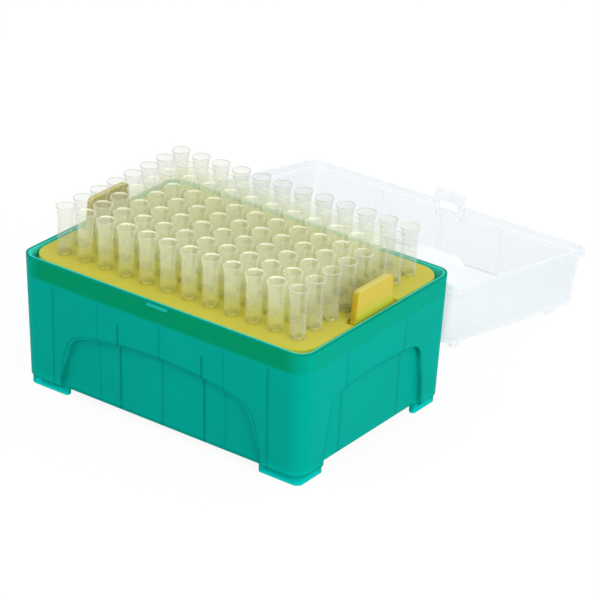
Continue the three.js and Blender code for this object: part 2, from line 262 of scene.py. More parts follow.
class Finish:
    def __init__(self, owner):  # a material or a world
        self.owner = owner
        owner.use_nodes = True
        self.nodes = owner.node_tree.nodes
        self.links = owner.node_tree.links
        self.nodes.clear()

    def node(self, kind, settings=None, inputs=None, output=0):
        made = self.nodes.new(kind)
        for key, value in (settings or {}).items():
            setattr(made, key, value)
        for key, value in (inputs or {}).items():
            if isinstance(value, Wire):
                self.links.new(value.socket, made.inputs[key])
            else:
                made.inputs[key].default_value = value
        return Wire(self, made.outputs[output])

    def split(self, wire):
        return [self.node("ShaderNodeSeparateXYZ", {}, {0: wire}, output=axis) for axis in range(3)]

    def spot(self):  # the three coordinates of a point, in mm from the box's middle and the table
        point = self.node("ShaderNodeTexCoord", output="Object")
        scaled = self.node("ShaderNodeVectorMath", {"operation": "SCALE"}, {0: point, 3: 1 / mm})
        x, y, z = self.split(scaled)
        return x, y - middleY, z

    def past(self, x, y, halfX, halfY, radius):  # how far outside a rounded rectangle, in mm
        cornerX = (x.size() - (halfX - radius)).atLeast(0)
        cornerY = (y.size() - (halfY - radius)).atLeast(0)
        return (cornerX * cornerX + cornerY * cornerY) ** 0.5 - radius

    def noise(self, size, detail=3.0, roughness=0.5):  # about 0.5, features of the given size in mm
        point = self.node("ShaderNodeTexCoord", output="Object")
        inputs = {"Vector": point, "Scale": 1 / (size * mm), "Detail": detail, "Roughness": roughness}
        return self.node("ShaderNodeTexNoise", {}, inputs)

    def mix(self, factor, low, high):
        return self.node("ShaderNodeMix", {"data_type": "RGBA"}, {0: factor, 6: low, 7: high}, output=2)

    def bump(self, height, distance, strength=1.0):
        inputs = {"Height": height, "Distance": distance * mm, "Strength": strength}
        return self.node("ShaderNodeBump", {}, inputs)

    def edge(self):  # 0 where the surface faces the eye, 1 where it turns away
        return self.node("ShaderNodeLayerWeight", {}, {"Blend": 0.5}, output="Facing")

    def finishWith(self, surface, kind="ShaderNodeOutputMaterial"):
        out = self.nodes.new(kind)
        self.links.new(surface.socket, out.inputs["Surface"])
        return self.owner

    def seeThrough(self, solid, solidness, tint):  # the tint is the colour of what it lets through
        clear = self.node("ShaderNodeBsdfTransparent", {}, {"Color": (*tint, 1)})
        return self.finishWith(self.node("ShaderNodeMixShader", {}, {0: solidness, 1: clear, 2: solid}))


def newFinish(name):
    return Finish(bpy.data.materials.new(name))


# The tray's size is here because the box shows its skirt through the wall.
tray = {
    "halfX": 58.7,
    "halfY": 40.5,
    "radius": 9.3,
    "top": 49.3,
    "plate": 1.4,
    "skirt": 7.6,
    "skirtWall": 1.2,
    "hole": 2.3,
}
panel = {"sunk": 1.7, "bend": 1.6}  # the bend is how late an arch's sides turn in
longArch = {
    "halfFoot": 43.0,
    "halfTop": 36.9,
    "top": 29.4,
    "crown": 4.7,
    "shoulder": 6.0,
    "wallAt": 37,  # the wall is past this
    "wallEnd": 46.5,
}
shortArch = {
    "halfFoot": 28.4,
    "halfTop": 24.6,
    "top": 30.2,
    "crown": 1.7,
    "shoulder": 5.5,
    "wallAt": 55,
    "wallEnd": 31.5,
}
rib = {
    "half": 0.45,
    "reach": 3.0,
    "top": 41.4,
    "lowTop": 35.4,
    "columns": ((-5, "top"), (-3, "top"), (-2, "lowTop"), (0, "top"), (2, "lowTop"), (3, "top"), (5, "top")),
    "rows": (-2, 2),
}
foot = {
    "inset": 1.4,
    "radius": 2.5,
    "wall": 2.6,
    "innerRadius": 1.2,
    "lengthX": 17.1,
    "lengthY": 13.6,
    "end": 1.2,
    "ledge": 0.8,
}
catch = {"half": 4.3, "reach": 0.8, "low": 48.3, "edge": 0.5}
hingeParts = {
    "span": 32,
    "earWidth": 3,
    "earRadius": 1.7,
    "pinRadius": 0.9,
    "pinPlay": 0.2,
    "lugWidth": 2,
    "lugRadius": 2.1,
    "sideGap": 0.3,
}

greenLook = {
    "wall": (0.0, 0.37, 0.305, 1),
    "wallDeep": (0.0, 0.335, 0.265, 1),
    "line": (0.0, 0.20, 0.17, 1),
    "skirt": (0.0, 0.26, 0.10, 1),
    "rim": (0.0, 0.27, 0.18, 1),
    # painted light: a lighter colour for the inner faces near the rim
    "inside": (0.05, 0.68, 0.58, 1),
    "catch": (0.01, 0.42, 0.33, 1),
    "foot": (0.0, 0.41, 0.40, 1),
    "footEdge": (0.03, 0.58, 0.56, 1),
    "tint": (0.0, 0.80, 0.68),
    "solid": 0.78,
    "footSolid": 0.60,
    # strength of the painted shade line round the sunk panels
    "archShadeLine": 0.55,
    # strength of the painted shadow line where the corners end above the feet
    "legShadowLine": 0.5,
}


# The lines that the ribs show through the walls: place, half the width, fade and strength.
ribLines = {
    "shiftX": 0.6,  # they show a little beside the ribs
    "shiftY": -1.3,
    "middle": (0, 0.2, 0.4, 0.5),
    "second": (18, 0.25, 0.5, 0.8),
    "third": (27, 0.2, 0.4, 0.35),
    "outer": (46, 0.25, 0.45, 0.55),
    "short": (16.7, 0.25, 0.45, 0.5),
}


def ribLine(distance, name):
    place, half, fade, strength = ribLines[name]
    return distance.near(place, half, fade) * strength


def archShadeLine(finish, across, spot, z, arch):  # a thin line of painted shade round the sunk panel, at the step where the wall is thicker
    rise = ((z - box["legFoot"]) / (arch["top"] - box["legFoot"])).atLeast(0)
    half = arch["halfFoot"] - rise ** panel["bend"] * (arch["halfFoot"] - arch["halfTop"])
    share = spot / half
    above = z - arch["top"] + share * share * rise * arch["crown"]
    beside = spot.size() - half
    inputs = {0: above, 1: beside, 2: 1.75 * arch["shoulder"]}
    past = finish.node("ShaderNodeMath", {"operation": "SMOOTH_MAX"}, inputs)
    onWall = across.size().soft(arch["wallAt"] - 0.5, arch["wallAt"] + 0.5)
    onWall = onWall * spot.size().soft(arch["wallEnd"] + 0.5, arch["wallEnd"] - 0.5)
    return onWall * past.near(0.25, 0.15, 0.35) * z.soft(box["legFoot"] + 0.5, box["legFoot"] + 1.1)


def greenPlastic():
    look = greenLook
    finish = newFinish("greenPlastic")
    x, y, z = finish.spot()
    tone = finish.noise(26, 2.0)
    colour = finish.mix(tone, look["wallDeep"], look["wall"])

    fromMiddle = (x - ribLines["shiftX"]).size()
    tall = ribLine(fromMiddle, "middle") + ribLine(fromMiddle, "third") + ribLine(x.size(), "outer")
    tall = tall + ribLine((y - ribLines["shiftY"]).size(), "short")
    tall = tall * z.soft(rib["top"] + 0.6, rib["top"] - 0.6)
    low = ribLine(fromMiddle, "second") * z.soft(rib["lowTop"] + 1.6, rib["lowTop"] + 0.6)
    # Painted shade: thin dark lines round the sunk panels' steps.
    arches = archShadeLine(finish, y, x, z, longArch) + archShadeLine(finish, x, y, z, shortArch)
    # Painted shadow: a dark line where the corners' walls end above the feet.
    legLedgeShadow = z.near(box["legFoot"] - 0.1, 0.35, 0.35) * z.soft(box["longFoot"] - 0.1, box["longFoot"] + 0.2)
    lines = tall + low + arches * look["archShadeLine"] + legLedgeShadow * look["legShadowLine"]
    colour = finish.mix(lines, colour, look["line"])

    # The tray's skirt shows through the wall, less on the short walls and at one corner.
    fromTray = finish.past(x, y, tray["halfX"], tray["halfY"], tray["radius"])
    skirtLow = tray["top"] - tray["skirt"]
    skirt = z.soft(skirtLow - 0.1, skirtLow + 1.5) * fromTray.soft(6.2, 2.3) * fromTray.soft(0.0, 0.2)
    skirt = skirt * (0.3 + 0.6 * y.size().soft(38.5, 40.5)) * (0.25 + 0.75 * x.soft(-60, -51))
    colour = finish.mix(skirt, colour, look["skirt"])
    colour = finish.mix(z.soft(box["height"] - 0.6, box["height"] - 0.35), colour, look["rim"])

    # Painted light: the inner faces near the rim are painted lighter, standing in for light that comes
    # through the wall.
    fromRim = finish.past(x, y, box["halfX"], box["halfY"], box["cornerRadius"])
    inside = fromRim.soft(-0.7, -1.1) * z.soft(41, 42)
    colour = finish.mix(inside, colour, look["inside"])
    proud = fromRim.soft(0.05, 0.15) * z.soft(45, 46)
    colour = finish.mix(proud, colour, look["catch"])
    feet = z.soft(box["longFoot"], box["longFoot"] - 0.15)
    colour = finish.mix(feet, colour, finish.mix(z.soft(0.8, 0.4), look["foot"], look["footEdge"]))

    solid = finish.node("ShaderNodeBsdfPrincipled", {}, {
        "Base Color": colour,
        "Roughness": 0.36 + 0.12 * finish.noise(3.0, 3.0),
        "IOR": 1.49,
        "Specular IOR Level": 0.012,
        "Normal": finish.bump(finish.noise(0.35, 4.0, 0.6), 0.006),
    })
    solidness = look["solid"] - (look["solid"] - look["footSolid"]) * feet
    return finish.seeThrough(solid, solidness, look["tint"])


def archPrism(arch, margin):  # the outline of a wall's sunk panel, through the whole box along Y
    low = box["legFoot"]
    top = arch["top"] + margin
    halfFoot = arch["halfFoot"] + margin
    halfTop = arch["halfTop"] + margin
    piece = block(halfFoot, beyond, low - 5, top)
    activate(piece)
    bpy.ops.object.mode_set(mode="EDIT")
    pick("edges", lambda edge: along(edge, 0))
    bpy.ops.mesh.subdivide(number_cuts=13)
    pick("edges", lambda edge: along(edge, 2))
    bpy.ops.mesh.subdivide(number_cuts=7)
    bpy.ops.object.mode_set(mode="OBJECT")
    for vertex in piece.data.vertices:
        rise = max(0, (vertex.co.z / mm - low) / (top - low))
        width = 1 - (1 - halfTop / halfFoot) * rise ** panel["bend"]
        share = vertex.co.x / mm / halfFoot
        vertex.co.x *= width
        vertex.co.z -= arch["crown"] * share ** 2 * rise * mm
    def atShoulder(edge):
        middle = middleOf(edge)
        return along(edge, 1) and abs(middle.x) > halfTop - 0.1 and middle.z > top - arch["crown"] - 0.05

    return roundEdges(piece, atShoulder, arch["shoulder"], 8)


def quarterTurn(piece):
    piece.data.transform(Matrix.Rotation(math.pi / 2, 4, "Z"))
    return piece


def wallBlock(inset, low, high):
    halfX = box["halfX"] - inset
    halfY = box["halfY"] - inset
    radius = box["cornerRadius"] - min(inset, 4)
    return roundedBlock(halfX, halfY, radius, low, high, box["lean"], box["height"])


def bodyBlock(inset, low, high, margin):
    piece = wallBlock(inset, low, high)
    combine(piece, archPrism(longArch, margin), "DIFFERENCE")
    combine(piece, quarterTurn(archPrism(shortArch, margin)), "DIFFERENCE")
    return combine(piece, wallBlock(inset + panel["sunk"], low, high), "UNION")


def makeRibs():
    pitch = grid["pitch"]
    innerY = box["halfY"] - box["wall"] - rib["reach"]
    innerX = box["halfX"] - box["wall"] - rib["reach"]
    low = box["legFoot"] + 0.5
    bars = []
    for side in (-1, 1):
        for column, top in rib["columns"]:
            bars.append(block(rib["half"], 20, low, rib[top], (column * pitch, side * (innerY + 20))))
        for row in rib["rows"]:
            bars.append(block(20, rib["half"], low, rib["top"], (side * (innerX + 20), row * pitch)))
    half = box["wall"] / 2
    return combine(joined(bars), bodyBlock(half, low, box["height"], half), "INTERSECT")


def makeFeet():
    draft = box["lean"] * (box["height"] - box["legFoot"])
    legX = box["halfX"] - draft
    legY = box["halfY"] - draft
    halfX = legX - foot["inset"]
    halfY = legY - foot["inset"]
    top = box["legFoot"] + box["floor"] / 2
    endX = halfX - foot["lengthX"]
    endY = halfY - foot["lengthY"]

    def corners(startX, startY):  # all that lies past these in all four corners
        return joined([
            block(10, 10, -1, top + 1, ((startX + 10) * sideX, (startY + 10) * sideY))
            for sideX in (-1, 1) for sideY in (-1, 1)])

    def hollow():
        wall = foot["wall"]
        return roundedBlock(halfX - wall, halfY - wall, foot["innerRadius"], -1, top + 1)

    def atEnd(edge):
        middle = middleOf(edge)
        return along(edge, 2) and (abs(abs(middle.x) - endX) < 0.1 or abs(abs(middle.y) - endY) < 0.1)

    ring = roundedBlock(halfX, halfY, foot["radius"], 0, top)
    combine(ring, hollow(), "DIFFERENCE")
    combine(ring, corners(endX, endY), "INTERSECT")
    roundEdges(ring, atEnd, foot["end"], 5)
    roundEdges(ring, lambda edge: not along(edge, 2) and middleOf(edge).z < hair, 0.5, 3)
    ledgeHigh = box["legFoot"] + 0.05
    ledgeLow = ledgeHigh - foot["ledge"]
    ledge = roundedBlock(legX, legY, box["cornerRadius"], ledgeLow, ledgeHigh, 1, ledgeHigh)
    combine(ledge, hollow(), "DIFFERENCE")
    combine(ledge, corners(longArch["halfFoot"], shortArch["halfFoot"]), "INTERSECT")
    return combine(ring, ledge, "UNION")


def makeCatch():
    front = -box["halfY"]
    piece = block(catch["half"], catch["reach"], catch["low"], box["height"] - 0.1, (0, front))
    for vertex in piece.data.vertices:
        if vertex.co.y / mm < front and vertex.co.z / mm > catch["low"] + catch["edge"]:
            vertex.co.z = (catch["low"] + catch["edge"]) * mm
    return piece


def makeLugs():
    inner = hingeParts["earWidth"] / 2 + hingeParts["sideGap"]
    outer = inner + hingeParts["lugWidth"]
    radius = hingeParts["lugRadius"]
    lugs = []
    for station in (-hingeParts["span"], hingeParts["span"]):
        for side in (-1, 1):
            low, high = sorted((station + side * inner, station + side * outer))
            lug = rod(radius, low, high, hingeY, hingeZ)
            root = span(low, high, box["halfY"] - box["wall"] / 2, hingeY, hingeZ - radius, hingeZ + radius)
            lugs.append(combine(lug, root, "UNION"))
    hole = rod(hingeParts["pinRadius"] + hingeParts["pinPlay"], -60, 60, hingeY, hingeZ)
    return combine(joined(lugs), hole, "DIFFERENCE")


def makeLongEdges():  # the long walls' lower edges, which go below the corners'
    low = box["longFoot"]
    high = box["legFoot"] + 0.5
    strips = wallBlock(panel["sunk"], low, high)
    combine(strips, wallBlock(panel["sunk"] + box["wall"], low - 1, high + 1), "DIFFERENCE")
    return combine(strips, block(longArch["halfFoot"], beyond, low - 1, high + 1), "INTERSECT")


def makeBox():
    floorTop = box["legFoot"] + box["floor"]
    shell = bodyBlock(0, box["legFoot"], box["height"], 0)
    combine(shell, bodyBlock(box["wall"], floorTop, box["height"] + 1, box["wall"]), "DIFFERENCE")
    combine(shell, makeRibs(), "UNION")
    cornerX = box["halfX"] - box["cornerRadius"]
    for side in (-1, 1):
        gap = block(10, shortArch["halfFoot"], 0, box["shortFoot"], (side * (cornerX + 10), 0))
        combine(shell, gap, "DIFFERENCE")
    combine(shell, makeLongEdges(), "UNION")
    combine(shell, makeFeet(), "UNION")
    combine(shell, makeCatch(), "UNION")
    combine(shell, makeLugs(), "UNION")
    finishEdges(shell, 0.3, 2)
    return place(shell, "boxBody", greenPlastic())


boxBody = makeBox()
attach(boxBody, "base")
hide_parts("base")
print("box made", len(boxBody.data.polygons))

tab = {
    "half": 11.0,  # half width at the plate
    "topHalf": 9.8,
    "height": 10.7,
    "thick": 2.1,
    "inset": 0.8,
    "corner": 1.6,
    "pocketDepth": 2.4,
    "pocketBack": 1.3,
    "pocketSide": 1.8,
    "pocketWall": 1.2,
}

yellowLook = {
    "plate": (0.50, 0.455, 0.05, 1),
    "plateDeep": (0.46, 0.41, 0.042, 1),
    "edge": (0.44, 0.44, 0.035, 1),
    "tab": (0.47, 0.37, 0.04, 1),
    # painted reflection: the green of the box on the tab's foot
    "tabFootReflection": (0.45, 0.46, 0.035, 1),
    "tabEnd": (0.44, 0.30, 0.008, 1),
    "tabTop": (0.53, 0.46, 0.11, 1),
    "pocket": (0.80, 0.56, 0.01, 1),
}


def yellowPlastic():
    look = yellowLook
    finish = newFinish("yellowPlastic")
    x, y, z = finish.spot()
    tone = finish.noise(18, 2.0)
    colour = finish.mix(tone, look["plateDeep"], look["plate"])
    fromEdge = finish.past(x, y, tray["halfX"], tray["halfY"], tray["radius"])
    colour = finish.mix(fromEdge.soft(-2.2, -0.3), colour, look["edge"])
    rise = z - tray["top"]
    onTab = rise.soft(0.1, 0.4)
    # Painted reflection: the tab is painted greener towards its foot, where the green box would reflect in
    # it.
    tabColour = finish.mix(rise.soft(5.5, 0.5), look["tab"], look["tabFootReflection"])
    sideLean = (tab["half"] - tab["topHalf"]) / tab["height"]
    fromMiddle = y.size() + rise * sideLean
    tabColour = finish.mix(fromMiddle.soft(tab["half"] - 0.5, tab["half"] - 0.2), tabColour, look["tabEnd"])
    tabColour = finish.mix(rise.soft(tab["height"] - 0.3, tab["height"] - 0.1), tabColour, look["tabTop"])
    colour = finish.mix(onTab, colour, tabColour)
    colour = finish.mix(rise.soft(-0.4, -1.4), colour, look["pocket"])
    return finish.finishWith(finish.node("ShaderNodeBsdfPrincipled", {}, {
        "Base Color": colour,
        "Roughness": 0.42 + 0.14 * finish.noise(4.0),
        "Specular IOR Level": 0.25,
        "Subsurface Weight": 0.15,
        "Subsurface Radius": (1.0, 0.8, 0.1),
        "Subsurface Scale": 0.002,
        "Normal": finish.bump(finish.noise(0.4, 4.0, 0.6), 0.006),
    }))


def gridPlaces():
    for row in range(grid["rows"]):
        for column in range(grid["columns"]):
            x = (column - (grid["columns"] - 1) / 2) * grid["pitch"]
            y = (row - (grid["rows"] - 1) / 2) * grid["pitch"]
            yield column + 1, row + 1, x, y


def makeTab():  # at +X, with the pocket's floor under it
    low = tray["top"] - tab["pocketDepth"] - tab["pocketWall"] / 2
    top = tray["top"] + tab["height"]
    outer = tray["halfX"] - tab["inset"]
    piece = span(outer - tab["thick"], outer, -tab["half"], tab["half"], tray["top"], top)
    for vertex in piece.data.vertices:
        if vertex.co.z / mm > tray["top"] + 1:
            vertex.co.y *= tab["topHalf"] / tab["half"]
    roundEdges(piece, lambda edge: along(edge, 0) and middleOf(edge).z > top - 0.1, tab["corner"], 5)
    root = span(outer - tab["thick"], outer, -tab["half"], tab["half"], low, tray["top"] + 0.01)
    return combine(piece, root, "UNION")


def makeTray():
    low = tray["top"] - tray["skirt"]
    plateLow = tray["top"] - tray["plate"]
    piece = roundedBlock(tray["halfX"], tray["halfY"], tray["radius"], low, tray["top"])
    thick = tray["skirtWall"]
    inside = roundedBlock(
        tray["halfX"] - thick, tray["halfY"] - thick, tray["radius"] - thick, low - 1, plateLow)
    combine(piece, inside, "DIFFERENCE")
    deselectAll()
    bpy.ops.mesh.primitive_cylinder_add(
        vertices=20, radius=tray["hole"] * mm, depth=6 * mm, location=(0, 0, (tray["top"] - 1) * mm))
    bpy.ops.object.transform_apply(location=True)
    hole = bpy.context.object
    holes = joined([copyOf(hole, (x, y, 0)) for column, row, x, y in gridPlaces()])
    bpy.data.objects.remove(hole, do_unlink=True)
    combine(piece, holes, "DIFFERENCE")
    inner = tray["halfX"] - tab["inset"] - tab["thick"] - tab["pocketBack"]
    outer = tray["halfX"]
    top = tray["top"]
    half = tab["half"] + tab["pocketSide"]
    floor = top - tab["pocketDepth"]
    wall = tab["pocketWall"]
    ends = []
    for turn in (0, math.pi):
        boss = span(inner - wall, outer - 0.5, -half - wall, half + wall, floor - wall, top - 0.5)
        hollow = span(inner, outer + 5, -half, half, floor, top + 5)
        upright = makeTab()
        for part in (boss, hollow, upright):
            part.data.transform(Matrix.Rotation(turn, 4, "Z"))
        ends.append((boss, hollow, upright))
    for boss, hollow, upright in ends:
        combine(piece, boss, "UNION")
        combine(piece, hollow, "DIFFERENCE")
        combine(piece, upright, "UNION")
    finishEdges(piece, 0.22, 2)
    return place(piece, "tipTray", yellowPlastic())


tipTray = makeTray()
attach(tipTray, "base")
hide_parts("tray")
print("tray made", len(tipTray.data.polygons))

tip = {"length": 51, "rise": 17.85, "sides": 24, "wall": 0.42}
tipTop = tray["top"] + tip["rise"]

tipLook = {
    "clear": (0.68, 0.71, 0.66, 1),
    "low": (0.84, 0.82, 0.34, 1),
    "high": (0.92, 0.94, 0.76, 1),
    "lip": (0.61, 0.63, 0.53, 1),
    # painted highlight on the back of each rim
    "rimHighlight": (0.93, 0.94, 0.78, 1),
    "ring": (0.58, 0.54, 0.10, 1),
    "hole": (0.95, 0.88, 0.06, 1),
    "fill": 0.08,
    "middleFill": 0.11,
    "outerFill": -0.01,
    "mouthFill": 0.05,
    "outerMouthFill": -0.03,
    "edge": 0.5,
    "lipSolid": 0.2,
    "outerLipSolid": 0.4,
    "rimHighlightSolid": 0.3,
    "ringSolid": 0.75,
    "holeSolid": 0.8,
    "streakSolid": 0.03,
    "tickSolid": 0.10,
    "tickEvery": 1.4,  # between graduation ticks
}


def tipPlastic():
    look = tipLook
    finish = newFinish("tipPlastic")
    x, y, z = finish.spot()
    rise = z - tray["top"]
    pitch = grid["pitch"]
    across = (x / pitch + 50.0).fraction() * pitch - pitch / 2  # from the tip's own middle
    back = (y / pitch + 50.0).fraction() * pitch - pitch / 2
    radius = (across * across + back * back) ** 0.5
    among = x.size().soft(50, 43) * y.soft(34, 24)  # the tips with others and the tray behind them
    middle = rise.soft(3, 7) * rise.soft(tip["rise"] - 1.5, tip["rise"] - 4.5)
    mouth = rise.soft(tip["rise"] - 4.5, tip["rise"] - 1.5)
    low = rise.soft(10, 4)
    lip = z.soft(tipTop - 0.4, tipTop - 0.25)
    # A painted highlight: a light crescent on the back of each tip's rim, where a lamp behind would glint.
    rimHighlight = ((0.87 * back - 0.5 * across) / radius).soft(0.45, 0.85) * among * y.soft(32, 14)
    rimHighlight = rimHighlight * z.soft(tipTop - 0.75, tipTop - 0.45) * radius.soft(3.3, 3.2)
    ring = rise.near(0, 1.0, 0.4) * radius.near(2.1, 0.3, 0.1)
    hole = rise.soft(0.4, -0.1) * radius.soft(1.8, 1.65)
    tick = (z / look["tickEvery"] + 50.0).fraction().near(0.5, 0.1, 0.1) * across.near(0.3, 0.4, 0.3) * low
    streak = across.math("SINE", across.math("ARCTAN2", across, back) * 9) * 0.5 + 0.5

    colour = finish.mix(rise.soft(1, 12), look["low"], look["high"])
    colour = finish.mix(among, look["clear"], colour)
    for share, name in ((lip, "lip"), (rimHighlight, "rimHighlight"), (ring, "ring"), (hole, "hole")):
        colour = finish.mix(share, colour, look[name])
    solid = finish.node("ShaderNodeBsdfPrincipled", {}, {
        "Base Color": colour,
        "Roughness": 0.14 + 0.1 * finish.noise(2.0),
        "IOR": 1.49,
        "Specular IOR Level": 0.3,
        "Normal": finish.bump(streak * low, 0.02, 0.4),
    })
    among = among * (0.45 + 0.55 * y.soft(-28, -18))  # the front row is clearer
    fill = look["fill"] + middle * (look["middleFill"] * among + look["outerFill"])
    fill = fill + mouth * (look["mouthFill"] * among + look["outerMouthFill"])
    rim = lip * (look["outerLipSolid"] - look["lipSolid"] * among)
    marks = look["streakSolid"] * streak * low + look["tickSolid"] * tick
    spots = look["rimHighlightSolid"] * rimHighlight + look["ringSolid"] * ring + look["holeSolid"] * hole
    solidness = fill + look["edge"] * finish.edge() ** 3.5 + rim + marks + spots
    return finish.seeThrough(solid, solidness, (0.975, 0.98, 0.965))


def turned(profile, sides):  # a ring, extruded and resized along the profile and then closed
    deselectAll()
    radius, z = profile[0]
    bpy.ops.mesh.primitive_circle_add(vertices=sides, radius=radius * mm, location=(0, 0, z * mm))
    bpy.ops.object.transform_apply(location=True)
    bpy.ops.object.mode_set(mode="EDIT")
    bpy.ops.mesh.select_all(action="SELECT")
    for nextRadius, nextZ in profile[1:]:
        bpy.ops.mesh.extrude_region_move(TRANSFORM_OT_translate={"value": (0, 0, (nextZ - z) * mm)})
        share = nextRadius / radius
        bpy.ops.transform.resize(value=(share, share, 1), center_override=(0, 0, nextZ * mm))
        radius, z = nextRadius, nextZ
    pick("edges", lambda edge: edge.is_boundary)
    bpy.ops.mesh.bridge_edge_loops()
    bpy.ops.mesh.select_all(action="SELECT")
    bpy.ops.mesh.normals_make_consistent(inside=False)
    bpy.ops.object.mode_set(mode="OBJECT")
    return bpy.context.object


def makeTipShape():
    seat = tray["top"] + 0.05
    top = tipTop
    low = top - tip["length"]
    wall = tip["wall"]
    profile = [
        (0.48, low),
        (1.25, low + 14),
        (2.02, seat - 1.5),
        (2.10, seat),
        (2.66, seat),
        (2.72, seat + 0.5),
        (2.80, top - 3.6),
        (2.92, top - 2.6),
        (3.20, top - 1.3),
        (3.38, top - 0.4),
        (3.38, top - 0.1),
        (3.30, top),
        (3.20, top - 0.02),
        (3.10, top - 0.3),
        (2.88, top - 1.3),
        (2.62, top - 2.6),
        (2.80 - wall, top - 3.6),
        (2.66 - wall, seat + 1.5),
        (2.02 - wall, seat - 1.5),
        (0.24, low),
    ]
    return smooth(turned(profile, tip["sides"]), 50)


tipClear = tipPlastic()
tipShape = makeTipShape()
for column, row, x, y in gridPlaces():
    piece = place(copyOf(tipShape, (x, y, 0)), f"tip.{column}.{row}", tipClear)
    node = f"tip_{column}_{row}"
    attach(piece, "base")
    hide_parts(node if node in frame["nodes"] else "tray")
bpy.data.objects.remove(tipShape, do_unlink=True)
print("tips made")

lid = {
    "flangeGap": 0.3,
    "flangeWall": 1.05,
    "flangeEdge": 47.6,
    "flangeHeight": 4,
    "flangeRadius": 4.8,
    "wallInset": 1.5,
    "depth": 22.2,
    "wall": 1.0,
    "lean": 0.02,
    "radius": 4.5,
    "edge": 1.3,
    "ribHalf": 0.65,
    "ribReach": 0.5,
    "ribsX": (-27, 0, 27),
    "ribsY": (-18, 18),
}
bump = {"height": 1, "length": 5, "width": 1.5, "inner": 58.7, "places": (-29.7, 35.1)}
thumb = {"half": 12.8, "reach": 5.2, "outside": 6, "radius": 2, "depth": 2.7, "lean": 1.1}
latch = {
    "windowHalf": 4.6,
    "legWidth": 2.1,
    "wall": 1.2,
    "gap": 0.4,
    "barDrop": 4.2,
    "legHeight": 7.2,
    "windowLow": 48.1,
    "windowHigh": 50.9,
    "corner": 1.8,
}
flangeTop = lid["flangeEdge"] + lid["flangeHeight"]
flangeX = box["halfX"] + lid["flangeGap"] + lid["flangeWall"]
flangeY = box["halfY"] + lid["flangeGap"] + lid["flangeWall"]
lidTop = lid["flangeEdge"] + lid["depth"]

lidLook = {
    "flat": (0.88, 0.91, 0.93, 1),
    # painted shade: the walls are darker copies of the flat colour
    "longWallShade": (0.79, 0.83, 0.86, 1),
    "shortWallShade": (0.67, 0.71, 0.74, 1),
    "solid": 0.27,
    "edge": 0.45,
}


def lidPlastic():
    look = lidLook
    finish = newFinish("lidPlastic")
    tone = finish.noise(30, 2.0)
    facingX, facingY, facingZ = finish.split(finish.node("ShaderNodeTexCoord", output="Normal"))
    # Painted shade: faces turned along Y are painted darker than the flat ones, and faces turned along X
    # darker still.
    colour = finish.mix(facingY.size().soft(0.5, 0.9), look["flat"], look["longWallShade"])
    colour = finish.mix(facingX.size().soft(0.5, 0.9), colour, look["shortWallShade"])
    solid = finish.node("ShaderNodeBsdfPrincipled", {}, {
        "Base Color": colour,
        "Roughness": 0.24 + 0.12 * finish.noise(5.0),
        "IOR": 1.49,
        "Specular IOR Level": 0.3,
    })
    solidness = look["solid"] + 0.05 * (tone - 0.5) + look["edge"] * finish.edge() ** 3.0
    return finish.seeThrough(solid, solidness, (0.985, 0.99, 0.992))


def lidBlock(inset, low, high, edgeRadius):
    halfX = flangeX - lid["wallInset"] - inset
    halfY = flangeY - lid["wallInset"] - inset
    piece = roundedBlock(halfX, halfY, max(lid["radius"] - inset, 1), low, high, lid["lean"], flangeTop)
    return roundEdges(
        piece, lambda edge: not along(edge, 2) and middleOf(edge).z > high - hair, edgeRadius, 5)


def thumbBlock(margin):  # the sunk place over the latch
    piece = roundedBlock(
        thumb["half"] + margin, thumb["reach"] + thumb["outside"] + margin, thumb["radius"] + margin,
        lidTop - thumb["depth"] - margin, lidTop + 0.01, thumb["lean"], lidTop, 6)
    piece.data.transform(Matrix.Translation((0, (lid["wallInset"] - flangeY - thumb["outside"]) * mm, 0)))
    return piece


def makeLid():
    piece = roundedBlock(flangeX, flangeY, lid["flangeRadius"], lid["flangeEdge"], flangeTop)
    combine(piece, lidBlock(0, flangeTop - 0.5, lidTop, lid["edge"]), "UNION")
    combine(piece, thumbBlock(0), "DIFFERENCE")
    hollow = lidBlock(lid["wall"], box["height"] - 0.5, lidTop - lid["wall"], lid["edge"] - 0.5)
    ribs = []
    innerX = flangeX - lid["wallInset"] - lid["wall"] - lid["ribReach"]
    innerY = flangeY - lid["wallInset"] - lid["wall"] - lid["ribReach"]
    for side in (-1, 1):
        for x in lid["ribsX"]:
            ribs.append(block(lid["ribHalf"], 5, box["height"] + 1, lidTop, (x, side * (innerY + 5))))
        for y in lid["ribsY"]:
            ribs.append(block(5, lid["ribHalf"], box["height"] + 1, lidTop, (side * (innerX + 5), y)))
    combine(hollow, joined(ribs), "DIFFERENCE")
    combine(hollow, thumbBlock(lid["wall"]), "DIFFERENCE")
    combine(piece, hollow, "DIFFERENCE")
    gap = lid["flangeGap"]
    rimRoom = roundedBlock(box["halfX"] + gap, box["halfY"] + gap, lid["flangeRadius"] - lid["flangeWall"],
                           lid["flangeEdge"] - 1, box["height"] + gap)
    combine(piece, rimRoom, "DIFFERENCE")
    bumps = []
    for side in (-1, 1):
        lowX, highX = sorted((side * bump["inner"], side * (bump["inner"] + bump["width"])))
        low = lidTop - lid["edge"]
        for y in bump["places"]:
            bumps.append(span(lowX, highX, y, y + bump["length"], low, lidTop + bump["height"]))
    combine(piece, joined(bumps), "UNION")
    addLatch(piece)
    combine(piece, makeEars(), "UNION")
    finishEdges(piece, 0.25, 2)
    swing = (Matrix.Translation((0, hingeY * mm, hingeZ * mm))
             @ Matrix.Rotation(math.radians(-hinge["range_deg"][1]), 4, "X")
             @ Matrix.Translation((0, -hingeY * mm, -hingeZ * mm)))
    piece.data.transform(swing)
    return place(piece, "lidCover", lidPlastic())


